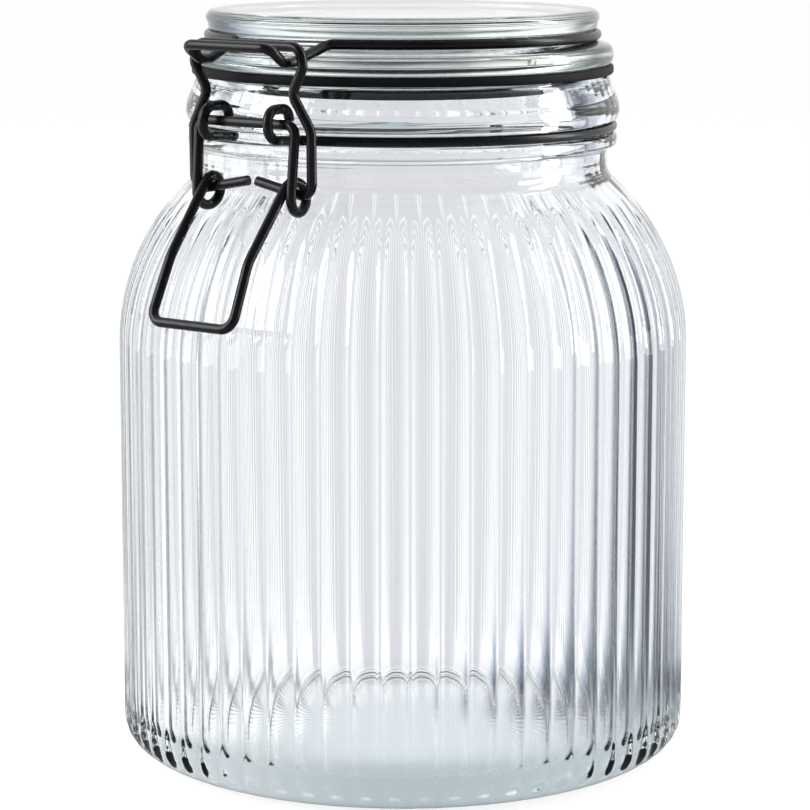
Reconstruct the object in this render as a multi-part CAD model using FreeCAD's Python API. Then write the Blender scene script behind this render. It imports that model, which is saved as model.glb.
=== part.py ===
"""Clip-top preserving jar: fluted glass jar, thick glass lid, rubber seal and bent-wire closure.

Frame: millimetres, +Z up, origin at the middle of the base, closure towards -Y, hinge towards +Y.
"""
import FreeCAD
import Part
import math
import os

Vector = FreeCAD.Vector
UP = Vector(0, 0, 1)

# ---- jar body -------------------------------------------------------------
BODY_R = 70.3            # outside radius of the straight wall
BODY_WALL = 4.0          # glass thickness of wall and shoulder
BASE_THICK = 5.0         # glass thickness of the base
HEEL_R = 10.5            # outside rounding between wall and base
HEEL_INNER_R = 9.0       # inside rounding between wall and base
SHOULDER_R = 53.0        # radius of the shoulder's curve, seen from the side
SHOULDER_ANGLE = 45.0    # how far the shoulder curve turns before the neck, degrees

# ---- flutes ---------------------------------------------------------------
FLUTE_COUNT = 64
FLUTE_DEPTH = 0.7        # on the straight wall
FLUTE_TOP_DEPTH = 0.43   # at the top of the shoulder
FLUTE_RIDGE = 0.45       # width of the ridge left between two flutes
FLUTE_TOP_ANGLE = 42.0   # how far up the shoulder curve the flutes run, degrees

# ---- neck, lip and rim ----------------------------------------------------
NECK_R = 50.1            # outside radius below the lip
NECK_FILLET = 6.0        # hollow curve from shoulder to neck
NECK_FOOT_DROP = 23.75   # from the rim down to where the shoulder's slope meets the neck
MOUTH_R = 45.0           # inside radius of the mouth
HEIGHT_TO_RIM = 168.9    # top of the glass rim above the base
RIM_FACE = 0.8           # rounding of the rim's two edges
LIP_R = 53.2             # widest part of the lip
LIP_TOP_R = 50.6         # outside radius of the lip at the rim
LIP_TALL = 7.2           # height of the sloped part of the lip
LIP_BAND = 3.0           # height of the lip's straight band
WIRE_D = 2.4             # diameter of all the steel wire
WIRE_R = WIRE_D / 2.0
WIRE_FIT = 0.1           # gap between a wire ring and the glass groove it sits in
GROOVE_PLAY = 0.25       # gap above and below the neck wire in its groove
GROOVE_DRAFT = 0.1       # rise of the groove's upper face towards its edge
GROOVE_SLOPE_TALL = 0.9  # height of the slope between the groove and the lip's band
BEAD_R = 52.6            # bead under the neck wire
BEAD_TALL = 3.6
BEAD_SLANT = 0.6         # height over which the bead swells out, from below
BEAD_LIP = 0.2           # and draws in again above
BEAD_ROUND = 0.6         # rounding of the bead's edges
LIP_UNDERCUT = 1.0       # how far the lip's lower edge is drawn in
LIP_ROUND = 1.5          # rounding between the lip's band and its slope

# ---- seal and lid ---------------------------------------------------------
SEAL_THICK = 2.4
SEAL_R = 51.4            # outside radius of the seal's flat faces
SEAL_EDGE = 0.25         # how far the seal's edge bulges
LID_PLAY = 1.8           # radial gap between the lid's boss and the mouth
SEAL_PLAY = 0.4          # radial gap between the lid's boss and the seal
LID_TALL = 13.3          # from the seal's top face to the lid's top face
LID_R = 48.2             # radius of the lid's top disc
LID_WAIST_R = 47.5
LID_EDGE_R = 1.6         # rounding of the top disc's edge
LID_DISC_TALL = 2.6      # height of the top disc's rim
LID_DISC_SLOPE = 1.0     # height of the slope from rim to waist
FLANGE_R = 51.6
FLANGE_TALL = 5.2
FLANGE_SLOPE_UP = 0.5    # flange's sloped top, above and below its height
FLANGE_SLOPE_DOWN = 0.9
FLANGE_TOP_ROUND = 1.2
FLANGE_FOOT_ROUND = 0.7
BOSS_DROP = 4.8          # how far the boss reaches below the flange
BOSS_WIDE = 4.0          # width of the boss ring round the shallow recess
BOSS_ROUND = 1.0
RECESS_DEEP = 3.5
LID_GROOVE_UP = 7.2      # lid wire's height above the seal's top face
LID_GROOVE_DEEP = 1.4

# ---- wire closure, seen from the side: out from the jar's axis, Z up --------
EYE_X = 9.7              # middle of each neck-wire eye, either side of the closure's centre
CROSSBAR_CLEAR = 5.4     # lever's pivot, out from the lip
CROSSBAR_RISE = 4.25     # lever's pivot, up from the neck wire
EYE_HIGH = 6.9           # eye's height, wire centre to wire centre
EYE_REACH = 4.2          # eye's reach from the pivot, towards the jar and away from it
EYE_PITCH = 1.0          # how far the eye winds sideways
EYE_END_RISE = 0.6       # wire's end behind the crossbar, above the pivot
ARM_X = 14.6             # lever's upper arms
LOOP_X = 12.0            # lever's handle arms
LOOP_BACK = 1.9          # middle of the lever's two loops, in from the pivot
LOOP_DROP = 16.7         # and down from it
LOOP_R = 3.5             # radius of a loop, wire centre
LOOP_TURN = 320.0        # how far a loop turns, degrees
LOOP_SIDES = 5           # bends that make a loop
LOOP_BEND_SHARE = 0.96   # each bend of a loop is a little tighter, as the loop also winds sideways
KINK_DROP = 14.0         # handle's kink, down from the loops
KINK_CLEAR = 9.436       # and out from the shoulder
HANDLE_DROP = 28.5       # handle's end, down from the loops
HANDLE_CLEAR = 10.172    # and out from the shoulder
HANDLE_END_X = 12.4
KINK_DRAW = 0.2          # how far the kink is drawn in sideways
KINK_BEND = 12.0
LINK_SEAT = 0.3          # gap between a link pin and the inside of its loop
LINK_PIN_END_X = 1.45    # cut end of a link pin, from the closure's centre
LINK_PIN_RISE = 2.2      # rise of the pin's end above its loop
LINK_PIN_DROP = 0.92     # and the fall of its foot below it
LINK_X = 17.9            # link's arms beside the lever
LINK_LEAN = 0.2          # how far an arm leans out over that length
LINK_LOW_RISE = 14.6     # length of the link's arms beside the lever
LINK_WAIST_X = 13.4      # link's arms where they pinch in
LINK_WAIST_DRAW = 0.5    # corner of the pinch, inside the wire's own line
LINK_WAIST_DROP = 11.0   # the pinch below the link's top bar
LINK_TOP_X = 16.1        # link's arms at the top
LINK_TOP_DRAW = 0.4      # each of the top's two corners, out and in from that
LINK_CORNER_DROP = 4.6   # lower corner below the top bar
LINK_TOP_BACK = 0.5      # link's top bar, in from the pivot
LINK_FOOT_BEND = 3.0     # bends of the link: foot and waist, side, top
LINK_SIDE_BEND = 6.0
LINK_TOP_BEND = 2.9
SADDLE_X = 12.7          # dips of the lid wire in which the link's top bar hooks
SADDLE_BEHIND = 0.9      # the dips' flat bottom, behind and in front of the link's top bar
SADDLE_AHEAD = 2.2
SADDLE_GAP = 1.3         # space between the link's top bar and the bottom of the dips
SADDLE_SPLAY = 1.4       # how much further out to the side the ring's ends stand
LID_RING_START = 25.0    # angles where the lid's ring begins and ends, counted from the closure
LID_RING_END = 163.0
NECK_RING_START = 15.0   # the same for the neck's ring
NECK_RING_END = 162.0
RING_PIECES = 6          # arcs that make half a ring
WIRE_BEND = 2.6          # radii of the wire's bends, at its centre
TIGHT_BEND = 2.4
EYE_BEND = 3.2
TAB_REACH = 7.5          # front bar of the lid wire, out from the link's top bar

# ---- hinge at the back ----------------------------------------------------
HINGE_CLEAR = 6.2        # hinge bar, out from the lip
HINGE_DROP = 1.9         # hinge bar, down from the rim
HINGE_PLAY = 0.35        # gap between the hinge bar and the lid wire's hooks
HINGE_LEG_X = 11.2       # neck wire's two hinge legs
HOOK_X = 8.2             # lid wire's two hooks
HOOK_END = 0.2           # hook's end, past the hinge bar
HOOK_BEND = 4.0          # bend from a hook's leg to the lid's ring

# ---- worked out from the sizes above --------------------------------------
SEAL_Z = HEIGHT_TO_RIM
LID_Z = SEAL_Z + SEAL_THICK
TOP_Z = LID_Z + LID_TALL
BAND_TOP_Z = HEIGHT_TO_RIM - LIP_TALL
BAND_END_Z = BAND_TOP_Z - LIP_BAND
GROOVE_TALL = WIRE_D + 2 * GROOVE_PLAY
GROOVE_TOP_Z = BAND_END_Z - GROOVE_SLOPE_TALL
NECK_WIRE_Z = GROOVE_TOP_Z - GROOVE_TALL / 2.0
NECK_WIRE_R = NECK_R + WIRE_FIT + WIRE_R
BOSS_R = MOUTH_R - LID_PLAY
LID_WIRE_Z = LID_Z + LID_GROOVE_UP
LID_GROOVE_R = LID_WAIST_R - LID_GROOVE_DEEP
LID_WIRE_R = LID_GROOVE_R + WIRE_FIT + WIRE_R
SHOULDER_TURN = math.radians(SHOULDER_ANGLE)
SHOULDER_MIDDLE_R = BODY_R - SHOULDER_R
SLOPE_TOP_R = SHOULDER_MIDDLE_R + SHOULDER_R * math.cos(SHOULDER_TURN)
SLOPE_RISE = (SLOPE_TOP_R - NECK_R) / math.tan(SHOULDER_TURN)
NECK_FOOT_Z = HEIGHT_TO_RIM - NECK_FOOT_DROP
SHOULDER_Z = NECK_FOOT_Z - SLOPE_RISE - SHOULDER_R * math.sin(SHOULDER_TURN)


def shoulder_out(z):
    """Outside radius of the shoulder at a height, on its curve or on the slope above it."""
    rise = max(z - SHOULDER_Z, 0.0)
    if rise < SHOULDER_R * math.sin(SHOULDER_TURN):
        return SHOULDER_MIDDLE_R + math.sqrt(SHOULDER_R ** 2 - rise ** 2)
    return NECK_R + (NECK_FOOT_Z - z) * math.tan(SHOULDER_TURN)


CROSSBAR_OUT = LIP_R + CROSSBAR_CLEAR
CROSSBAR_Z = NECK_WIRE_Z + CROSSBAR_RISE
LOOP_OUT = CROSSBAR_OUT - LOOP_BACK
LOOP_Z = CROSSBAR_Z - LOOP_DROP
HANDLE_KINK_Z = LOOP_Z - KINK_DROP
HANDLE_KINK_OUT = shoulder_out(HANDLE_KINK_Z) + KINK_CLEAR
HANDLE_END_Z = LOOP_Z - HANDLE_DROP
HANDLE_END_OUT = shoulder_out(HANDLE_END_Z) + HANDLE_CLEAR
PIN_Z = LOOP_Z + LOOP_R - WIRE_D - LINK_SEAT
LINK_TOP_OUT = CROSSBAR_OUT - LINK_TOP_BACK
LINK_TOP_Z = LID_WIRE_Z
SADDLE_Z = LINK_TOP_Z - WIRE_D - SADDLE_GAP
TAB_OUT = LINK_TOP_OUT + TAB_REACH
HINGE_OUT = LIP_R + HINGE_CLEAR
HINGE_Z = HEIGHT_TO_RIM - HINGE_DROP


# ---- outlines of turned glass ---------------------------------------------

def side_point(radius, z):
    """A point of a turned piece's outline."""
    return Vector(radius, 0, z)


def turned(points, fillets):
    """Solid turned about Z from a closed outline; fillets maps a corner's place to its radius."""
    count = len(points)
    starts = []
    ends = []
    arcs = []
    for i, corner in enumerate(points):
        radius = fillets.get(i, 0.0)
        if radius <= 0.0:
            starts.append(corner)
            ends.append(corner)
            arcs.append(None)
            continue
        first, last, edge = tangent_arc(points[i - 1], corner, points[(i + 1) % count], radius)
        starts.append(first)
        ends.append(last)
        arcs.append(edge)
    edges = []
    for i in range(count):
        if arcs[i] is not None:
            edges.append(arcs[i])
        nxt = starts[(i + 1) % count]
        if ends[i].distanceToPoint(nxt) > 1e-6:
            edges.append(Part.LineSegment(ends[i], nxt).toShape())
    face = Part.Face(Part.Wire(edges))
    return face.revolve(Vector(0, 0, 0), UP, 360)


def tangent_arc(before, corner, after, radius):
    """Arc that rounds a corner: its first point, its last point and its edge."""
    to_before = (before - corner).normalize()
    to_after = (after - corner).normalize()
    half_turn = (math.pi - to_before.getAngle(to_after)) / 2.0
    reach = radius * math.tan(half_turn)
    first = corner + to_before * reach
    last = corner + to_after * reach
    middle_line = (to_before + to_after).normalize()
    middle = corner + middle_line * (radius / math.cos(half_turn) - radius)
    return first, last, Part.Arc(first, middle, last).toShape()


# ---- bent wire ------------------------------------------------------------

def bent_wire(route):
    """Round wire along straight runs joined by bends; route is a list of (corner, bend radius)."""
    edges = []
    here = route[0][0]
    for i in range(1, len(route) - 1):
        corner, radius = route[i]
        first, last, edge = tangent_arc(route[i - 1][0], corner, route[i + 1][0], radius)
        if here.distanceToPoint(first) > 1e-4:
            edges.append(Part.LineSegment(here, first).toShape())
        edges.append(edge)
        here = last
    edges.append(Part.LineSegment(here, route[-1][0]).toShape())
    path = Part.Wire(edges)
    start = route[0][0]
    heading = route[1][0] - start
    section = Part.Wire(Part.makeCircle(WIRE_R, start, heading))
    return path.makePipeShell([section], True, False)


def front(x, out, z):
    """A point of the closure: x to the side, out from the jar's axis, z up."""
    return Vector(x, -out, z)


def mirrored(route):
    """The other half of a symmetrical wire, followed backwards."""
    return [(Vector(-p.x, p.y, p.z), radius) for p, radius in reversed(route)]


def ring_route(radius, z, from_deg, to_deg, pieces):
    """Corners that bend a wire round the jar's axis, angles counted from the closure."""
    step = math.radians(to_deg - from_deg) / pieces
    reach = radius / math.cos(step / 2.0)
    corners = []
    for i in range(pieces):
        angle = math.radians(from_deg) + step * (i + 0.5)
        corners.append((Vector(reach * math.sin(angle), -reach * math.cos(angle), z), radius))
    return corners


def on_tangent(radius, z, angle_deg, x):
    """The point at side distance x on the line that touches a ring at an angle."""
    angle = math.radians(angle_deg)
    touch = Vector(radius * math.sin(angle), -radius * math.cos(angle), z)
    heading = Vector(math.cos(angle), math.sin(angle), 0)
    return touch + heading * ((x - touch.x) / heading.x)


# ---- glass ----------------------------------------------------------------

def shoulder_arc(radius, reverse=False):
    """The shoulder's curve as an edge, upwards or, for the inside, downwards."""
    def at(angle):
        return side_point(SHOULDER_MIDDLE_R + radius * math.cos(angle),
                          SHOULDER_Z + radius * math.sin(angle))
    marks = [at(0), at(SHOULDER_TURN / 2.0), at(SHOULDER_TURN)]
    if reverse:
        marks.reverse()
    return Part.Arc(*marks).toShape()


def rounded_run(points, fillets):
    """Edges of an open outline whose inner corners are rounded."""
    edges = []
    here = points[0]
    for i in range(1, len(points) - 1):
        radius = fillets.get(i, 0.0)
        first = last = points[i]
        edge = None
        if radius > 0.0:
            first, last, edge = tangent_arc(points[i - 1], points[i], points[i + 1], radius)
        edges.append(Part.LineSegment(here, first).toShape())
        if edge is not None:
            edges.append(edge)
        here = last
    edges.append(Part.LineSegment(here, points[-1]).toShape())
    return edges


def glass_jar():
    """Turned jar with flutes pressed into wall and shoulder."""
    groove_end_z = GROOVE_TOP_Z - GROOVE_TALL
    bead_end_z = groove_end_z - BEAD_TALL
    inner_r = SHOULDER_R - BODY_WALL
    inner_end = side_point(SHOULDER_MIDDLE_R + inner_r * math.cos(SHOULDER_TURN),
                           SHOULDER_Z + inner_r * math.sin(SHOULDER_TURN))
    low = [
        side_point(0, 0),
        side_point(BODY_R, 0),
        side_point(BODY_R, SHOULDER_Z),
    ]
    high = [
        side_point(SLOPE_TOP_R, NECK_FOOT_Z - SLOPE_RISE),
        side_point(NECK_R, NECK_FOOT_Z),
        side_point(NECK_R, bead_end_z),
        side_point(BEAD_R, bead_end_z + BEAD_SLANT),
        side_point(BEAD_R, groove_end_z - BEAD_LIP),
        side_point(NECK_R, groove_end_z),
        side_point(NECK_R, GROOVE_TOP_Z),
        side_point(LIP_R - LIP_UNDERCUT, GROOVE_TOP_Z + GROOVE_DRAFT),
        side_point(LIP_R, BAND_END_Z),
        side_point(LIP_R, BAND_TOP_Z),
        side_point(LIP_TOP_R, HEIGHT_TO_RIM - RIM_FACE),
        side_point(LIP_TOP_R - RIM_FACE, HEIGHT_TO_RIM),
        side_point(MOUTH_R + RIM_FACE, HEIGHT_TO_RIM),
        side_point(MOUTH_R, HEIGHT_TO_RIM - RIM_FACE),
        side_point(MOUTH_R, inner_end.z + (inner_end.x - MOUTH_R) / math.tan(SHOULDER_TURN)),
        inner_end,
    ]
    inside = [
        side_point(BODY_R - BODY_WALL, SHOULDER_Z),
        side_point(BODY_R - BODY_WALL, BASE_THICK),
        side_point(0, BASE_THICK),
    ]
    edges = rounded_run(low, {1: HEEL_R})
    edges.append(shoulder_arc(SHOULDER_R))
    edges += rounded_run(high, {1: NECK_FILLET, 3: BEAD_ROUND, 4: BEAD_ROUND, 9: LIP_ROUND,
                                14: NECK_FILLET})
    edges.append(shoulder_arc(inner_r, reverse=True))
    edges += rounded_run(inside, {1: HEEL_INNER_R})
    edges.append(Part.LineSegment(inside[-1], low[0]).toShape())
    blank = Part.Face(Part.Wire(edges)).revolve(Vector(0, 0, 0), UP, 360)
    return blank.cut(flute_cutters())


def flute_cutters():
    """One round-bottomed channel for each flute, all round the jar."""
    width = 2 * math.pi * BODY_R / FLUTE_COUNT - FLUTE_RIDGE
    radius = (width * width / 4.0 + FLUTE_DEPTH ** 2) / (2 * FLUTE_DEPTH)
    start_r = BODY_R + radius - FLUTE_DEPTH
    top = math.radians(FLUTE_TOP_ANGLE)
    lift = (FLUTE_DEPTH - FLUTE_TOP_DEPTH) / (1 - math.cos(top))
    bend_r = SHOULDER_R + radius - FLUTE_DEPTH + lift
    bend_centre = start_r - bend_r

    def at(angle):
        return side_point(bend_centre + bend_r * math.cos(angle), SHOULDER_Z + bend_r * math.sin(angle))
    foot = side_point(start_r, -radius)
    run = Part.LineSegment(foot, at(0)).toShape()
    bend = Part.Arc(at(0), at(top / 2), at(top)).toShape()
    section = Part.Wire(Part.makeCircle(radius, foot, UP))
    channel = Part.Wire([run, bend]).makePipeShell([section], True, False)
    channel = channel.fuse(Part.makeSphere(radius, at(top)))
    cutters = []
    for i in range(FLUTE_COUNT):
        copy = channel.copy()
        copy.rotate(Vector(0, 0, 0), UP, (i + 0.5) * 360.0 / FLUTE_COUNT)
        cutters.append(copy)
    return cutters


def glass_lid():
    """Thick pressed lid: top disc, wire groove, flange and a boss that centres it in the mouth."""
    flange_top_z = LID_Z + FLANGE_TALL
    groove_half = WIRE_R + WIRE_FIT
    recess_z = LID_Z - BOSS_DROP + RECESS_DEEP
    outline = [
        side_point(0, TOP_Z),
        side_point(LID_R, TOP_Z),
        side_point(LID_R, TOP_Z - LID_DISC_TALL),
        side_point(LID_WAIST_R, TOP_Z - LID_DISC_TALL - LID_DISC_SLOPE),
        side_point(LID_WAIST_R, LID_WIRE_Z + groove_half),
        side_point(LID_GROOVE_R, LID_WIRE_Z + groove_half),
        side_point(LID_GROOVE_R, LID_WIRE_Z - groove_half),
        side_point(LID_WAIST_R, LID_WIRE_Z - groove_half),
        side_point(LID_WAIST_R, flange_top_z + FLANGE_SLOPE_UP),
        side_point(FLANGE_R, flange_top_z - FLANGE_SLOPE_DOWN),
        side_point(FLANGE_R, LID_Z),
        side_point(BOSS_R, LID_Z),
        side_point(BOSS_R, LID_Z - BOSS_DROP),
        side_point(BOSS_R - BOSS_WIDE, LID_Z - BOSS_DROP),
        side_point(BOSS_R - BOSS_WIDE, recess_z),
        side_point(0, recess_z),
    ]
    return turned(outline, {1: LID_EDGE_R, 9: FLANGE_TOP_ROUND, 10: FLANGE_FOOT_ROUND, 12: BOSS_ROUND,
                            13: BOSS_ROUND})


def rubber_seal():
    """Flat rubber ring with a slightly bulged edge."""
    inner = BOSS_R + SEAL_PLAY
    outline = [
        side_point(inner, SEAL_Z),
        side_point(SEAL_R, SEAL_Z),
        side_point(SEAL_R + SEAL_EDGE, SEAL_Z + SEAL_THICK / 2.0),
        side_point(SEAL_R, LID_Z),
        side_point(inner, LID_Z),
    ]
    return turned(outline, {})


# ---- wire parts -----------------------------------------------------------

def lid_wire():
    """Ring round the lid, with two dips and a front bar, and two hooks round the hinge bar."""
    hook_r = WIRE_D + HINGE_PLAY
    hook_back = HINGE_OUT + hook_r
    hook_front = HINGE_OUT - hook_r
    back = [
        (Vector(HOOK_X, HINGE_OUT + HOOK_END, HINGE_Z + hook_r), None),
        (Vector(HOOK_X, hook_front, HINGE_Z + hook_r), hook_r),
        (Vector(HOOK_X, hook_front, HINGE_Z - hook_r), hook_r),
        (Vector(HOOK_X, hook_back, HINGE_Z - hook_r), hook_r),
        (Vector(HOOK_X, hook_back, LID_WIRE_Z), HOOK_BEND),
        (on_tangent(LID_WIRE_R, LID_WIRE_Z, LID_RING_END, HOOK_X), WIRE_BEND),
    ]
    ring = ring_route(LID_WIRE_R, LID_WIRE_Z, LID_RING_START, LID_RING_END, RING_PIECES)
    ring.reverse()
    tab = [
        (on_tangent(LID_WIRE_R, LID_WIRE_Z, LID_RING_START, SADDLE_X + SADDLE_SPLAY), WIRE_BEND),
        (front(SADDLE_X, LINK_TOP_OUT - SADDLE_BEHIND, SADDLE_Z), WIRE_BEND),
        (front(SADDLE_X, LINK_TOP_OUT + SADDLE_AHEAD, SADDLE_Z), WIRE_BEND),
        (front(SADDLE_X, TAB_OUT, LID_WIRE_Z), TIGHT_BEND),
    ]
    half = back + ring + tab
    return bent_wire(half + mirrored(half))


def neck_wire():
    """Ring in the jar's groove, with an eye at each front end and a raised hinge bar behind."""
    eye_top = CROSSBAR_Z + EYE_HIGH / 2.0
    eye_low = CROSSBAR_Z - EYE_HIGH / 2.0
    eye_back = CROSSBAR_OUT - EYE_REACH
    eye_front = CROSSBAR_OUT + EYE_REACH
    eye = [
        (front(EYE_X - 0.5 * EYE_PITCH, eye_back, CROSSBAR_Z + EYE_END_RISE), None),
        (front(EYE_X - 0.4 * EYE_PITCH, eye_back, eye_top), WIRE_BEND),
        (front(EYE_X - 0.1 * EYE_PITCH, eye_front, eye_top), EYE_BEND),
        (front(EYE_X + 0.4 * EYE_PITCH, eye_front, eye_low), EYE_BEND),
        (on_tangent(NECK_WIRE_R, NECK_WIRE_Z, NECK_RING_START, EYE_X + 0.6 * EYE_PITCH), TIGHT_BEND),
    ]
    ring = ring_route(NECK_WIRE_R, NECK_WIRE_Z, NECK_RING_START, NECK_RING_END, RING_PIECES)
    hinge = [
        (on_tangent(NECK_WIRE_R, NECK_WIRE_Z, NECK_RING_END, HINGE_LEG_X), TIGHT_BEND),
        (Vector(HINGE_LEG_X, HINGE_OUT, NECK_WIRE_Z), WIRE_BEND),
        (Vector(HINGE_LEG_X, HINGE_OUT, HINGE_Z), TIGHT_BEND),
    ]
    half = eye + ring + hinge
    return bent_wire(half + mirrored(half))


def loop_route():
    """Corners of the lever's loop, from the upper arm round and out to the handle arm."""
    turn = math.radians(LOOP_TURN) / LOOP_SIDES
    reach = LOOP_R / math.cos(turn / 2.0)
    corners = []
    for i in range(LOOP_SIDES):
        angle = -turn * (i + 0.5)
        share = (i + 0.5) / LOOP_SIDES
        x = ARM_X + (LOOP_X - ARM_X) * share
        corner = front(x, LOOP_OUT + reach * math.cos(angle), LOOP_Z + reach * math.sin(angle))
        corners.append((corner, LOOP_R * LOOP_BEND_SHARE))
    return corners


def latch_lever():
    """Lever wire: crossbar through the eyes, upper arms, two loops and a long handle."""
    arm = [
        (front(0, CROSSBAR_OUT, CROSSBAR_Z), None),
        (front(ARM_X, CROSSBAR_OUT, CROSSBAR_Z), WIRE_BEND),
    ]
    handle = [
        (front(LOOP_X - KINK_DRAW, HANDLE_KINK_OUT, HANDLE_KINK_Z), KINK_BEND),
        (front(HANDLE_END_X, HANDLE_END_OUT, HANDLE_END_Z), EYE_BEND),
        (front(0, HANDLE_END_OUT, HANDLE_END_Z), None),
    ]
    half = bent_wire(arm + loop_route() + handle)
    other = half.mirror(Vector(0, 0, 0), Vector(1, 0, 0))
    return half.fuse(other).removeSplitter()


def latch_link():
    """Link wire: pins in the lever's loops, pinched arms and a top bar that hooks the lid wire."""
    waist_z = LINK_TOP_Z - LINK_WAIST_DROP
    waist_share = (waist_z - PIN_Z) / (LINK_TOP_Z - PIN_Z)
    waist_out = LOOP_OUT + (LINK_TOP_OUT - LOOP_OUT) * waist_share
    half = [
        (front(LINK_PIN_END_X, LOOP_OUT, PIN_Z + LINK_PIN_RISE), None),
        (front(LINK_X, LOOP_OUT, PIN_Z - LINK_PIN_DROP), LINK_FOOT_BEND),
        (front(LINK_X, LOOP_OUT + LINK_LEAN, PIN_Z + LINK_LOW_RISE), LINK_SIDE_BEND),
        (front(LINK_WAIST_X - LINK_WAIST_DRAW, waist_out, waist_z), LINK_FOOT_BEND),
        (front(LINK_TOP_X + LINK_TOP_DRAW, LINK_TOP_OUT, LINK_TOP_Z - LINK_CORNER_DROP), TIGHT_BEND),
        (front(LINK_TOP_X - LINK_TOP_DRAW, LINK_TOP_OUT, LINK_TOP_Z), LINK_TOP_BEND),
    ]
    return bent_wire(half + mirrored(half))


def main():
    os.makedirs("parts", exist_ok=True)
    makers = [glass_jar, glass_lid, rubber_seal, lid_wire, neck_wire, latch_lever, latch_link]
    for maker in makers:
        shape = maker()
        if shape.ShapeType != "Solid" and len(shape.Solids) == 1:
            shape = shape.Solids[0]
        name = maker.__name__
        shape.exportStep("parts/" + name + ".step")
        print(name, "volume", round(shape.Volume, 1), "valid", shape.isValid())


main()
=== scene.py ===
import math

import bpy
import numpy as np
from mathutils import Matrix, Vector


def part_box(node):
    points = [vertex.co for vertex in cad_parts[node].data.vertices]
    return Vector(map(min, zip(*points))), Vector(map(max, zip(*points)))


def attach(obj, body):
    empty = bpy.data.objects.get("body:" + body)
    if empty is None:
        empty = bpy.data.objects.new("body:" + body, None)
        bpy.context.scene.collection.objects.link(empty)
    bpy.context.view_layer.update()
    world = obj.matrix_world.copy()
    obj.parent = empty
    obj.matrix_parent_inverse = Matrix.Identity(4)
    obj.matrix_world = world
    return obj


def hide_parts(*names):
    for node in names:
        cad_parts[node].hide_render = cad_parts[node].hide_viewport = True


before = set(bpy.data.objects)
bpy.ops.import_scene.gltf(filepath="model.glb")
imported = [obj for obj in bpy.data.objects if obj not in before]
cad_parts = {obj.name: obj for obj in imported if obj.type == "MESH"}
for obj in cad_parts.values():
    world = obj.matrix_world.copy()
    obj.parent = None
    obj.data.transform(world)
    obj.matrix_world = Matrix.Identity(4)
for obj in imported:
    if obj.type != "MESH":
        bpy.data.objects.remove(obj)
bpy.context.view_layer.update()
MM = 0.001

# ---- the jar ---------------------------------------------------------------
# Clear soda-lime glass with a faint sea-green body colour, pressed in a mould: a thick base, a straight
# wall, a round shoulder, a short neck with a bead, a wire groove and a sloped lip. 64 upright hollow
# flutes run from the heel to the top of the shoulder, and the blown inside is a little wavy.

BODY_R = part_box("glass_jar")[1].x / MM
RIM_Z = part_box("glass_jar")[1].z / MM
HEEL_FOOT_R = 55.7
HEEL_TALL = 10.0
HEEL_POWER = 2.43
PUSH_UP = 2.6            # how far the middle of the base stands clear of the table
FLOOR_Z = 3.4            # inside floor at its edge
FLOOR_CROWN = 2.6        # how much the inside floor rises towards its middle
BITE = 0.06              # how far glass and seal press into each other
FLUTES = 64
FLUTE_DEEP = 0.70
FLUTE_SHARE = 0.90       # part of the pitch that the hollow takes, the rest is the ridge
FLUTE_POWER = 3.2        # 2 would be a round hollow, more makes it flatter with steeper flanks
FLUTE_STATIONS = (0, 0.05, 0.10, 0.20, 0.38, 0.62, 0.80, 0.90, 0.95)   # columns in one pitch
FLUTE_LOW_Z = 3.6
FLUTE_HIGH_Z = 140.2
FLUTE_LOW_RUN = 7.0      # height over which a flute reaches its full depth, from below
FLUTE_HIGH_RUN = 16.0    # the same at the shoulder
EDGE_SOFT = 0.06         # rounding of the flutes' edges
WAVE_DEEP = 0.30         # waviness of the inside
WAVE_COUNTS = (2, 3, 5, 7, 11, 16, 23, 31, 41)   # waves round the jar, from long to short
WAVE_SEED = 7
NECK_RING_DEEP = 0.10    # level rings that the plunger leaves inside the neck
SHOULDER_TOP_Z = 124.95  # height at which the runs of wall and shoulder would meet
SHOULDER_ROUND = 53
NECK_R = 50.1
BEAD_R = 52.6
GROOVE_R = 50.2
LIP_R = 53.2
RIM_R = 48.9             # top edge of the lip
MOUTH_R = 45.0
MOUTH_ROWS = (164.4, 149.5, -0.8)                # heights of the rows inside the neck: first, end, step
INSIDE_SHOULDER = (66.1, 123.2, 47.0, 12)
INSIDE_WALL = ((66.1, 100), (66.1, 86), (66.2, 70), (66.2, 54), (66.1, 38), (65.9, 24))
INSIDE_CORNER = (65.6, FLOOR_Z, 10.0, 10)


def rounded(corners):
    """Outline of a turned piece: each corner (radius, height, rounding, points) becomes the arc that touches
    its two runs, centre + rounding * (cos t * towards corner + sin t * along), t over half the turn each
    way."""
    place = np.array([c[:2] for c in corners], float)
    bits = [place[:1]]
    for i in range(1, len(corners) - 1):
        rounding, count = corners[i][2:]
        if rounding == 0:
            bits.append(place[i:i + 1])
            continue
        back = place[i - 1] - place[i]
        on = place[i + 1] - place[i]
        back = back / np.linalg.norm(back)
        on = on / np.linalg.norm(on)
        half = (math.pi - math.acos(np.clip(back @ on, -1, 1))) / 2
        inward = (back + on) / np.linalg.norm(back + on)
        along = (on - back) / np.linalg.norm(on - back)
        centre = place[i] + inward * rounding / math.cos(half)
        t = np.linspace(-half, half, count)[:, None]
        bits.append(centre + rounding * (np.sin(t) * along - np.cos(t) * inward))
    bits.append(place[-1:])
    return np.vstack(bits)


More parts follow.
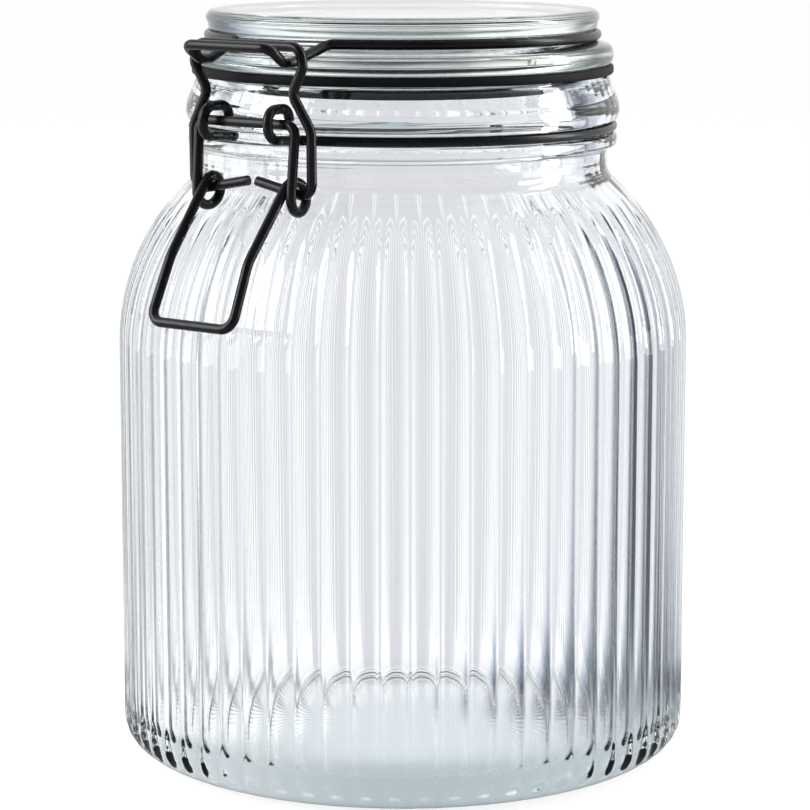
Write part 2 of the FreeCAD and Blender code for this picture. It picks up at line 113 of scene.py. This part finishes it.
def turned_skin(name, points):
    """Closed skin from a grid of points, rows along the outline and columns round the axis; the first and
    the last row are single points on the axis. Faces run round first and then along, so they look
    outwards."""
    rows, cols = points.shape[:2]
    places = np.vstack([points[:1, 0], points[1:-1].reshape(-1, 3), points[-1:, 0]])
    here = 1 + np.arange(cols) + np.arange(rows - 2)[:, None] * cols
    beside = np.roll(here, -1, axis=1)
    quads = np.stack([here[:-1], beside[:-1], beside[1:], here[1:]], axis=-1).reshape(-1, 4)
    first = np.stack([np.zeros(cols, int), beside[0], here[0]], axis=-1)
    last = np.stack([here[-1], beside[-1], np.full(cols, len(places) - 1)], axis=-1)
    corners = np.concatenate([quads.ravel(), first.ravel(), last.ravel()])
    starts = np.concatenate([np.arange(len(quads)) * 4, len(quads) * 4 + np.arange(2 * cols) * 3])
    mesh = bpy.data.meshes.new(name)
    mesh.vertices.add(len(places))
    mesh.vertices.foreach_set("co", (places * MM).ravel())
    mesh.loops.add(len(corners))
    mesh.loops.foreach_set("vertex_index", corners)
    mesh.polygons.add(len(starts))
    mesh.polygons.foreach_set("loop_start", starts)
    mesh.polygons.foreach_set("use_smooth", np.ones(len(starts), bool))
    mesh.update(calc_edges=True)
    mesh.validate()
    piece = bpy.data.objects.new(name, mesh)
    bpy.context.scene.collection.objects.link(piece)
    return piece


def jar_outline():
    """Outside of the jar upwards from the middle of its base, then the inside down to its floor: an outline
    of (radius, height), and the place in it where the inside begins. The heel is a quarter of a superellipse,
    radius by sine and height by cosine of t, both to the power 2 / HEEL_POWER."""
    t = np.linspace(0, math.pi / 2, 14)
    heel = np.stack([HEEL_FOOT_R + (BODY_R - HEEL_FOOT_R) * np.sin(t) ** (2 / HEEL_POWER),
                     HEEL_TALL * (1 - np.cos(t) ** (2 / HEEL_POWER))], axis=-1)
    base = rounded([(0, PUSH_UP, 0, 1), (30, PUSH_UP - 0.5, 0, 1), (51, 0.9, 3.0, 3), (54, 0, 2.0, 3),
                    (HEEL_FOOT_R, 0, 0, 1)])[:-1]
    rim = RIM_Z + BITE
    side = rounded([
        (BODY_R, HEEL_TALL, 0, 1),
        *[(BODY_R, z, 0, 1) for z in (13, 24, 40, 58, 80)],
        (BODY_R, SHOULDER_TOP_Z, SHOULDER_ROUND, 24),
        (NECK_R, 145.2, 5.5, 7),
        (NECK_R, 151.2, 0.7, 3), (BEAD_R, 151.9, 0.9, 4), (BEAD_R, 154.7, 0.9, 4), (GROOVE_R, 154.9, 0.4, 3),
        (GROOVE_R, 157.8, 0.4, 3), (BEAD_R, 157.9, 0.7, 4), (LIP_R, 160.0, 1.6, 3), (52.9, 162.4, 3.0, 4),
        (50.7, RIM_Z - 0.9, 1.5, 4), (49.9, rim, 0.7, 4),
        (RIM_R, rim, 0, 1),
    ])[1:-1]
    inside = rounded([
        (RIM_R, rim, 0, 1), (MOUTH_R, rim, 3.8, 8),
        *[(MOUTH_R, z, 0, 1) for z in np.arange(*MOUTH_ROWS)],
        (MOUTH_R, 144.6, 9.0, 11), INSIDE_SHOULDER,
        *[(r, z, 0, 1) for r, z in INSIDE_WALL],
        INSIDE_CORNER, (40, FLOOR_Z + FLOOR_CROWN * 0.55, 0, 1),
        (20, FLOOR_Z + FLOOR_CROWN * 0.9, 0, 1), (0, FLOOR_Z + FLOOR_CROWN, 0, 1),
    ])[1:]
    outside = np.vstack([base, heel, side])
    return np.vstack([outside, inside]), len(outside)


def flute_cut(angle, height):
    """Depth of the flutes below the skin: the depth at that height minus the full depth times the distance
    across, as a share of the hollow's half width, to the power FLUTE_POWER; nothing where that is negative,
    with the edge softened by the root of cut squared plus EDGE_SOFT squared. The depth itself grows from
    nothing over a short run at each end, which makes the round ends."""
    across = (angle * FLUTES / (2 * math.pi)) % 1.0 * 2 - 1
    low = np.clip((height - FLUTE_LOW_Z) / FLUTE_LOW_RUN, 0, 1)
    high = np.clip((FLUTE_HIGH_Z - height) / FLUTE_HIGH_RUN, 0, 1)
    full = FLUTE_DEEP * np.minimum(low * (2 - low), high * (2 - high))
    cut = full - FLUTE_DEEP * np.abs(across / FLUTE_SHARE) ** FLUTE_POWER
    return (cut + np.sqrt(cut ** 2 + EDGE_SOFT ** 2)) / 2 - EDGE_SOFT ** 2 / 4


def glass_waves(angle, height):
    """Waviness of blown glass: a sum of sines round the jar, finer ones shallower, each drifting slowly with
    height and fading out towards the floor and the mouth. Inside the neck two sines of the height, bent a
    little with the angle, add the level rings."""
    rng = np.random.default_rng(WAVE_SEED)
    total = np.zeros(np.broadcast(angle, height).shape)
    for count in WAVE_COUNTS:
        start, drift, beat = rng.uniform(0, 2 * math.pi, 3)
        wander = drift + (rng.uniform(-1, 1) * 1.2) * np.sin(height / 37.0 + beat)
        total += np.sin(count * angle + start + wander) * count ** -0.85
    fade = np.clip((height - FLOOR_Z - 2) / 12, 0, 1) * np.clip((RIM_Z - 4 - height) / 20, 0, 1)
    rings = (np.sin(height * 1.25 + 1.5 * np.sin(angle))
             + 0.6 * np.sin(height * 2.3 + 2 * np.sin(2 * angle + 1)))
    in_neck = np.clip((height - 138) / 6, 0, 1) * np.clip((RIM_Z - 5 - height) / 3, 0, 1)
    return WAVE_DEEP * total * fade + NECK_RING_DEEP * rings * in_neck


def jar_skin():
    """The outline turned about the axis on columns crowded at the ridges; outside rows are pressed in by the
    flutes along the skin's own normal, inside rows are moved by the waves."""
    outline, inside_from = jar_outline()
    angle = ((np.arange(FLUTES)[:, None] + np.array(FLUTE_STATIONS)) * 2 * math.pi / FLUTES).ravel()
    slope = np.gradient(outline, axis=0)
    slope /= np.linalg.norm(slope, axis=1)[:, None]
    height = outline[:, 1:]
    inside = (np.arange(len(outline)) >= inside_from)[:, None]
    shift = np.where(inside, -glass_waves(angle, height), flute_cut(angle, height))
    radius = outline[:, :1] - slope[:, 1:] * shift * np.where(inside, -1, 1)
    level = height + slope[:, :1] * np.where(inside, 0, shift)
    points = np.stack([radius * np.cos(angle), radius * np.sin(angle),
                       np.broadcast_to(level, radius.shape)], axis=-1)
    points[[0, -1], :, :2] = 0
    return turned_skin("jar_glass", points)


class Sum:
    """A shader value that plain Python sums work on: each operator adds the Math node it stands for."""

    def __init__(self, tree, socket):
        self.tree = tree
        self.socket = socket

    def joined(self, operation, first, second):
        node = self.tree.nodes.new("ShaderNodeMath")
        node.operation = operation
        for pin, value in zip(node.inputs, (first, second)):
            if isinstance(value, Sum):
                self.tree.links.new(value.socket, pin)
            else:
                pin.default_value = value
        return Sum(self.tree, node.outputs[0])

    def __add__(self, other):
        return self.joined("ADD", self, other)

    def __mul__(self, other):
        return self.joined("MULTIPLY", self, other)

    def __sub__(self, other):
        return self.joined("SUBTRACT", self, other)

    def __rsub__(self, other):
        return self.joined("SUBTRACT", other, self)

    __radd__ = __add__
    __rmul__ = __mul__


class Finish:
    """The nodes of a material or of the world being put together: node() adds any node, its settings first
    and then its sockets."""

    def __init__(self, owner):
        self.owner = owner
        self.owner.use_nodes = True
        self.tree = owner.node_tree
        self.tree.nodes.clear()

    def node(self, kind, settings=None, out=0, **sockets):
        node = self.tree.nodes.new(kind)
        for key, value in (settings or {}).items():
            setattr(node, key, value)
        for key, value in sockets.items():
            pin = next(p for p in node.inputs if p.enabled and p.name == key.replace("_", " "))
            if isinstance(value, Sum):
                self.tree.links.new(value.socket, pin)
            else:
                pin.default_value = value
        return Sum(self.tree, node.outputs[out])

    def either(self, share, first, second):
        """The second shader where share is 1, the first where it is 0."""
        node = self.tree.nodes.new("ShaderNodeMixShader")
        for pin, value in zip(node.inputs, (share, first, second)):
            self.tree.links.new(value.socket, pin)
        return Sum(self.tree, node.outputs[0])

    def both(self, first, second):
        """The light of two shaders together."""
        node = self.tree.nodes.new("ShaderNodeAddShader")
        self.tree.links.new(first.socket, node.inputs[0])
        self.tree.links.new(second.socket, node.inputs[1])
        return Sum(self.tree, node.outputs[0])

    def close(self, surface, volume=None, kind="ShaderNodeOutputMaterial"):
        end = self.tree.nodes.new(kind)
        self.tree.links.new(surface.socket, end.inputs["Surface"])
        if volume is not None:
            self.tree.links.new(volume.socket, end.inputs["Volume"])
        return self.owner


JAR_TINT = (0.30, 0.80, 0.80, 1)
JAR_TINT_DENSITY = 3.0
JAR_HAZE = 0.010         # roughness where the mould chilled the glass most
GLASS_BEND = 1.52        # refractive index of soda-lime glass


def clear_glass(name, body_colour, density, unevenness):
    """Polished soda-lime glass: sharp refraction, the faintest haze where the mould chilled it, a slow ripple
    in the polish, and the body colour taken up over the length of glass that light crosses."""
    mix = Finish(bpy.data.materials.new(name))
    spot = mix.node("ShaderNodeTexCoord", out=3)
    haze = mix.node("ShaderNodeTexNoise", Vector=spot, Scale=45.0, Detail=3.0)
    stretched = mix.node("ShaderNodeMapping", Vector=spot, Scale=(1.0, 1.0, 0.22))
    ripple = mix.node("ShaderNodeTexNoise", Vector=stretched, Scale=70.0, Detail=1.5)
    bump = mix.node("ShaderNodeBump", Height=ripple, Strength=0.03, Distance=0.0012)
    glass = mix.node("ShaderNodeBsdfPrincipled", Base_Color=(0.99, 0.995, 1.0, 1), IOR=GLASS_BEND,
                     Transmission_Weight=1.0, Roughness=haze * unevenness, Normal=bump)
    tint = mix.node("ShaderNodeVolumeAbsorption", Color=body_colour, Density=density)
    return mix.close(glass, tint)


jar = jar_skin()
jar.data.materials.append(clear_glass("clear_jar_glass", JAR_TINT, JAR_TINT_DENSITY, JAR_HAZE))
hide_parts("glass_jar")
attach(jar, "jar")

# ---- the lid ---------------------------------------------------------------
# A thick disc of the same glass, pressed and fire-polished: a flat top with a soft edge, a groove for its
# wire, a flange that lies on the seal, and a boss ring below that centres it in the mouth.

LID_LOW, LID_HIGH = (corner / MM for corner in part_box("glass_lid"))
LID_COLUMNS = 360
LID_TINT = (0.62, 0.90, 0.74, 1)
LID_TINT_DENSITY = 2.5
LID_HAZE = 0.14
BOSS_R = 42.9
FLANGE_R = 51.6
LID_GROOVE_R = 46.2
LID_TOP_R = 47.9


def lid_skin():
    """The lid's outline from the middle of its underside out, up and back over the top, turned about the
    axis."""
    flange_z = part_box("rubber_seal")[1].z / MM
    top = LID_HIGH.z
    outline = rounded([
        (0, LID_LOW.z + 3.5, 0, 1), (20.5, LID_LOW.z + 3.4, 0.8, 4), (21.7, LID_LOW.z + 2.9, 0.8, 4),
        (38.9, LID_LOW.z + 2.7, 1.2, 6), (39.9, LID_LOW.z, 0.9, 6), (BOSS_R, LID_LOW.z, 1.3, 8),
        (43.2, flange_z - BITE, 0.5, 4), (51.0, flange_z - BITE, 0.8, 5), (FLANGE_R, flange_z + 2.0, 1.2, 5),
        (51.3, flange_z + 4.5, 1.5, 6), (47.5, top - 7.5, 0.6, 5),
        (LID_GROOVE_R, top - 7.3, 0.3, 3), (LID_GROOVE_R, top - 4.9, 0.3, 3), (47.4, top - 4.7, 0.4, 4),
        (47.7, top - 3.0, 0.8, 4), (48.2, top - 2.0, 0.9, 5), (LID_TOP_R, top, 1.9, 12),
        (40, top, 0, 1), (24, top - 0.06, 0, 1), (0, top - 0.1, 0, 1),
    ])
    angle = np.arange(LID_COLUMNS) * 2 * math.pi / LID_COLUMNS
    radius = outline[:, :1]
    points = np.stack([radius * np.cos(angle), radius * np.sin(angle),
                       np.broadcast_to(outline[:, 1:], (len(outline), LID_COLUMNS))], axis=-1)
    points[[0, -1], :, :2] = 0
    return turned_skin("lid_glass", points)


lid = lid_skin()
lid.data.materials.append(clear_glass("clear_lid_glass", LID_TINT, LID_TINT_DENSITY, LID_HAZE))
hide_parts("glass_lid")
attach(lid, "lid")

# ---- the seal --------------------------------------------------------------
# A flat ring of dense black rubber, pressed between lip and lid, whose inner edge hangs into the mouth as a
# thin sleeve: one closed outline turned about the axis.

SEAL_COLUMNS = 180
SLEEVE_R = 44.6          # outside of the sleeve, just clear of the mouth
SLEEVE_THICK = 1.2
SLEEVE_LOW_Z = 164.6
SLEEVE_ROOT_R = 47.0     # underside of the flat ring, between sleeve and outer edge
RUBBER_DARK = (0.005, 0.005, 0.006, 1)
RUBBER_DRY = (0.011, 0.011, 0.013, 1)


def black_rubber():
    """Dense black rubber: matt, with a fine grain and a few greyer, drier patches."""
    mix = Finish(bpy.data.materials.new("black_rubber"))
    spot = mix.node("ShaderNodeTexCoord", out=3)
    patches = mix.node("ShaderNodeTexNoise", Vector=spot, Scale=60.0, Detail=4.0)
    grain = mix.node("ShaderNodeTexNoise", Vector=spot, Scale=2200.0, Detail=2.0)
    colour = mix.node("ShaderNodeMix", {"data_type": "RGBA"}, out=2, Factor=patches,
                      A=RUBBER_DARK, B=RUBBER_DRY)
    bump = mix.node("ShaderNodeBump", Height=grain, Strength=0.25, Distance=0.00015)
    rubber = mix.node("ShaderNodeBsdfPrincipled", Base_Color=colour, Roughness=0.50 + 0.15 * patches,
                      Specular_IOR_Level=0.12, Normal=bump)
    return mix.close(rubber)


def seal_ring():
    """Flat ring with a thin sleeve at its inner edge, which is stretched over the lid's boss and hangs into
    the mouth: rows along the closed outline, columns round the axis, joined back to the first of each."""
    low, high = (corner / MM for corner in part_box("rubber_seal"))
    bore = SLEEVE_R - SLEEVE_THICK
    outline = rounded([
        (SLEEVE_ROOT_R, low.z, 0, 1), (high.x, low.z, 0.8, 6), (high.x, high.z, 0.8, 6),
        (bore, high.z, 0.3, 3), (bore, SLEEVE_LOW_Z, 0.4, 4),
        (SLEEVE_R, SLEEVE_LOW_Z, 0.4, 4), (SLEEVE_R, low.z, 0, 1),
        (SLEEVE_ROOT_R, low.z, 0, 1),
    ])[:-1]
    angle = np.arange(SEAL_COLUMNS) * 2 * math.pi / SEAL_COLUMNS
    places = np.stack([outline[:, :1] * np.cos(angle), outline[:, :1] * np.sin(angle),
                       np.broadcast_to(outline[:, 1:], (len(outline), SEAL_COLUMNS))], axis=-1).reshape(-1, 3)
    here = np.arange(len(places)).reshape(len(outline), SEAL_COLUMNS)
    above = np.roll(here, -1, axis=0)
    quads = np.stack([here, np.roll(here, -1, axis=1), np.roll(above, -1, axis=1), above], axis=-1)
    quads = quads.reshape(-1, 4)
    mesh = bpy.data.meshes.new("seal_ring")
    mesh.from_pydata((places * MM).tolist(), [], quads.tolist())
    mesh.polygons.foreach_set("use_smooth", np.ones(len(quads), bool))
    piece = bpy.data.objects.new("seal_ring", mesh)
    bpy.context.scene.collection.objects.link(piece)
    return piece


seal = seal_ring()
seal.data.materials.append(black_rubber())
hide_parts("rubber_seal")
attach(seal, "lid")

# ---- the wires -------------------------------------------------------------
# Steel wire bent cold into the neck ring, the lid ring, the lever and the link, then coated satin black.
# The four solids have their true form already, so they stay and only get their coat.

COAT_DARK = (0.005, 0.005, 0.006, 1)
COAT_WORN = (0.010, 0.010, 0.012, 1)


def black_coat():
    """Satin black coating on drawn wire: a soft sheen, slightly uneven, with the coat's faint orange peel."""
    mix = Finish(bpy.data.materials.new("satin_black_wire"))
    spot = mix.node("ShaderNodeTexCoord", out=3)
    cloud = mix.node("ShaderNodeTexNoise", Vector=spot, Scale=120.0, Detail=3.0)
    peel = mix.node("ShaderNodeTexNoise", Vector=spot, Scale=1100.0, Detail=2.0)
    colour = mix.node("ShaderNodeMix", {"data_type": "RGBA"}, out=2, Factor=cloud,
                      A=COAT_DARK, B=COAT_WORN)
    bump = mix.node("ShaderNodeBump", Height=peel, Strength=0.18, Distance=0.0001)
    coat = mix.node("ShaderNodeBsdfPrincipled", Base_Color=colour, Roughness=0.22 + 0.10 * cloud,
                    Specular_IOR_Level=0.32, Normal=bump)
    return mix.close(coat)


satin_black = black_coat()
for part in ("neck_wire", "lid_wire", "latch_lever", "latch_link"):
    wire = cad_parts[part]
    wire.data.materials.clear()
    wire.data.materials.append(satin_black)

# ---- the table and the light -----------------------------------------------
# A white table and backdrop, a tall soft lamp to the right of the camera, a broad one to its left and two low
# ones close to the table. The room is white with dark panels to the sides, which draw the edges of the glass.

CAMERA_SIDE = math.radians(38.0)   # where the camera stands, counted from the closure
TABLE_HALF = 4.0
TABLE_GREY = (0.30, 0.30, 0.30, 1)
TABLE_GLOW = 0.80                  # the rest of the table's white, for the camera alone
TABLE_IN_GLOSS = 0.6
# painted light: the table glows this bluish grey under the jar, only for rays through the glass, in place of
# the room's tones
PAINTED_LIGHT_UNDER_JAR = (0.64, 0.71, 0.74, 1)
UNDER_JAR_FROM = 0.018             # radii between which that tone fades into the panels
UNDER_JAR_TO = 0.046
SHOWN_IN_GLASS = 1.15              # strength of the panels through glass, to make up for what the glass takes
BACKDROP_GLOW = 1.05
ROOM_LIGHT = 0.65                  # strength at which the room lights matt surfaces
ROOM_WHITE = (0.97, 0.98, 1.0)
KEY_WHITE = (1.0, 0.98, 0.96)


def studio_place(right, back, up):
    """A point of the studio: right of the camera's line, away from the camera and up, from the jar's axis."""
    x = right * math.cos(CAMERA_SIDE) - back * math.sin(CAMERA_SIDE)
    y = right * math.sin(CAMERA_SIDE) + back * math.cos(CAMERA_SIDE)
    return (x, y, up)


def seen_directly(mix):
    """Whether light is looked at by the camera, in a reflection or through glass: three values of 0 or 1.
    A ray through glass also counts as glossy, so that is taken off the reflections."""
    kinds = mix.tree.nodes.new("ShaderNodeLightPath")
    camera, glossy, through = [Sum(mix.tree, kinds.outputs[key])
                               for key in ("Is Camera Ray", "Is Glossy Ray", "Is Transmission Ray")]
    return camera, glossy * (1 - through), through


def round_the_room(mix, spot, tones):
    """Grey tone of the surroundings by compass direction round the jar's axis: the angle from straight behind
    the jar, over a full circle, read through a ramp of (angle, tone) stops; positive angles are to the
    right."""
    x = mix.node("ShaderNodeSeparateXYZ", Vector=spot)
    y = Sum(mix.tree, x.socket.node.outputs[1])
    right = x * math.cos(CAMERA_SIDE) + y * math.sin(CAMERA_SIDE)
    back = y * math.cos(CAMERA_SIDE) - x * math.sin(CAMERA_SIDE)
    turn = mix.node("ShaderNodeMath", {"operation": "ARCTAN2"})
    node = turn.socket.node
    mix.tree.links.new(right.socket, node.inputs[0])
    mix.tree.links.new(back.socket, node.inputs[1])
    ramp = mix.tree.nodes.new("ShaderNodeValToRGB")
    ramp.color_ramp.interpolation = "EASE"
    stops = ramp.color_ramp.elements
    while len(stops) > 1:
        stops.remove(stops[-1])
    for i, (angle, tone) in enumerate(tones):
        place = angle / 360 + 0.5
        stop = stops[0] if i == 0 else stops.new(place)
        stop.position = place
        stop.color = (*tone, 1)
    share = turn * (0.5 / math.pi) + 0.5
    mix.tree.links.new(share.socket, ramp.inputs[0])
    return Sum(mix.tree, ramp.outputs[0])


# Tones of the room by direction, in degrees from straight behind the jar: first as glass shows them, then
# as gloss does.
THROUGH_GLASS = [
    (-180, (0.40, 0.47, 0.49)), (-125, (0.56, 0.60, 0.62)), (-90, (1.0, 1.0, 1.0)), (-70, (1.0, 1.0, 1.0)),
    (-54, (0.40, 0.40, 0.44)), (-44, (1.0, 1.0, 1.0)), (-15, (1.0, 1.0, 1.0)), (-9, (0.69, 0.68, 0.71)),
    (3, (0.69, 0.68, 0.71)), (9, (0.74, 0.74, 0.78)), (15, (0.98, 0.98, 1.0)), (31, (0.92, 0.93, 0.98)),
    (42, (0.52, 0.55, 0.63)), (51, (0.18, 0.21, 0.28)), (60, (0.03, 0.04, 0.06)), (74, (0.05, 0.06, 0.09)),
    (88, (0.36, 0.39, 0.43)), (120, (0.46, 0.52, 0.54)), (180, (0.40, 0.47, 0.49)),
]
IN_GLOSS = [
    (-180, (0.02, 0.02, 0.02)), (-120, (0.03, 0.03, 0.03)), (-75, (0.50, 0.50, 0.50)), (-50, (1.0, 1.0, 1.0)),
    (50, (1.0, 1.0, 1.0)), (90, (1.0, 1.0, 1.0)), (115, (0.10, 0.10, 0.10)), (180, (0.02, 0.02, 0.02)),
]


def table_top():
    """White table: a matt share that is lit and shaded by the lamps and a glow that makes up the rest for the
    camera, so that it meets the backdrop; glass and gloss are shown the tones of the room instead."""
    mesh = bpy.data.meshes.new("table")
    corners = [(x * TABLE_HALF, y * TABLE_HALF, 0) for x, y in ((-1, -1), (1, -1), (1, 1), (-1, 1))]
    mesh.from_pydata(corners, [], [(0, 1, 2, 3)])
    table = bpy.data.objects.new("table", mesh)
    bpy.context.scene.collection.objects.link(table)
    mix = Finish(bpy.data.materials.new("white_table"))
    camera, glossy, through = seen_directly(mix)
    spot = mix.node("ShaderNodeTexCoord", out=3)
    from_axis = mix.node("ShaderNodeVectorMath", {"operation": "LENGTH"}, out=1, Vector=spot)
    # painted light under the jar: near the axis, rays through the glass see a glowing tone instead of the
    # room's tones
    near = mix.node("ShaderNodeMapRange", {"interpolation_type": "SMOOTHSTEP"}, Value=from_axis,
                    From_Min=UNDER_JAR_FROM, From_Max=UNDER_JAR_TO, To_Min=1.0, To_Max=0.0)
    tone = mix.node("ShaderNodeMix", {"data_type": "RGBA"}, out=2, Factor=near,
                    A=round_the_room(mix, spot, THROUGH_GLASS), B=PAINTED_LIGHT_UNDER_JAR)
    gloss = round_the_room(mix, spot, IN_GLOSS)
    matt = mix.node("ShaderNodeBsdfDiffuse", Color=TABLE_GREY)
    white = mix.node("ShaderNodeEmission", Color=(1, 1, 1, 1), Strength=camera * TABLE_GLOW)
    mirrored = mix.node("ShaderNodeEmission", Color=gloss, Strength=glossy * TABLE_IN_GLOSS)
    shaded = mix.node("ShaderNodeEmission", Color=tone, Strength=SHOWN_IN_GLASS)
    seen = mix.both(matt, mix.both(white, mirrored))
    mesh.materials.append(mix.close(mix.either(through, seen, shaded)))


def soft_lamp(name, place, aim, width, height, watts, colour):
    """Rectangular soft lamp at a studio place, turned to a point on the axis."""
    light = bpy.data.lights.new(name, "AREA")
    light.shape = "RECTANGLE"
    light.size = width
    light.size_y = height
    light.energy = watts
    light.color = colour
    lamp = bpy.data.objects.new(name, light)
    bpy.context.scene.collection.objects.link(lamp)
    here = np.array(studio_place(*place))
    lamp.location = here
    heading = np.array([0, 0, aim]) - here
    lamp.rotation_euler = (math.atan2(math.hypot(heading[0], heading[1]), -heading[2]), 0,
                           math.atan2(heading[1], heading[0]) - math.pi / 2)
    return lamp


table_top()
soft_lamp("key", (0.99, 0.05, 0.46), aim=0.12, width=0.22, height=0.90, watts=6.5, colour=KEY_WHITE)
soft_lamp("fill", (-0.95, -0.25, 0.55), aim=0.12, width=0.7, height=0.7, watts=8.0, colour=ROOM_WHITE)
for name, side, watts in (("low_right", 1.0, 1.3), ("low_left", -0.9, 0.9)):
    low = soft_lamp(name, (side, -0.05, 0.08), aim=0.08, width=0.70, height=0.16, watts=watts,
                    colour=ROOM_WHITE)
    low.visible_transmission = False

room = Finish(bpy.data.worlds.new("studio"))
bpy.context.scene.world = room.owner
camera_sees, gloss_sees, glass_sees = seen_directly(room)
direction = room.node("ShaderNodeTexCoord", out=0)
spread = 1 - camera_sees - glass_sees - gloss_sees
plain = room.node("ShaderNodeBackground", Color=(*ROOM_WHITE, 1),
                  Strength=camera_sees * BACKDROP_GLOW + spread * ROOM_LIGHT)
shaded = room.node("ShaderNodeBackground", Color=round_the_room(room, direction, THROUGH_GLASS),
                   Strength=glass_sees * SHOWN_IN_GLASS)
mirrored = room.node("ShaderNodeBackground", Color=round_the_room(room, direction, IN_GLOSS),
                     Strength=gloss_sees)
room.close(room.both(plain, room.both(shaded, mirrored)), kind="ShaderNodeOutputWorld")

# ---- the camera and the light paths ----------------------------------------
# A long lens a little above the lid, looking down on the jar from the right of its closure. Light may cross
# the glass walls, the lid and the thick foot several times before it counts as lost.

LENS_MM = 141.6
SENSOR_MM = 36.0
CAMERA_FAR = 0.78409
CAMERA_UP = 0.22296
CAMERA_DOWN = 9.9        # degrees that it looks down
CAMERA_TRIM = 0.0007     # turn to the side that sets the jar's axis a hair left of the middle

scene = bpy.context.scene
scene.view_settings.view_transform = "Standard"
scene.cycles.max_bounces = 11
scene.cycles.transmission_bounces = 11
scene.cycles.glossy_bounces = 6

lens = bpy.data.cameras.new("camera")
lens.lens = LENS_MM
lens.sensor_width = SENSOR_MM
camera = bpy.data.objects.new("camera", lens)
camera.location = studio_place(0, -CAMERA_FAR, CAMERA_UP)
camera.rotation_euler = (math.radians(90 - CAMERA_DOWN), 0, CAMERA_SIDE - CAMERA_TRIM)
scene.collection.objects.link(camera)
scene.camera = camera
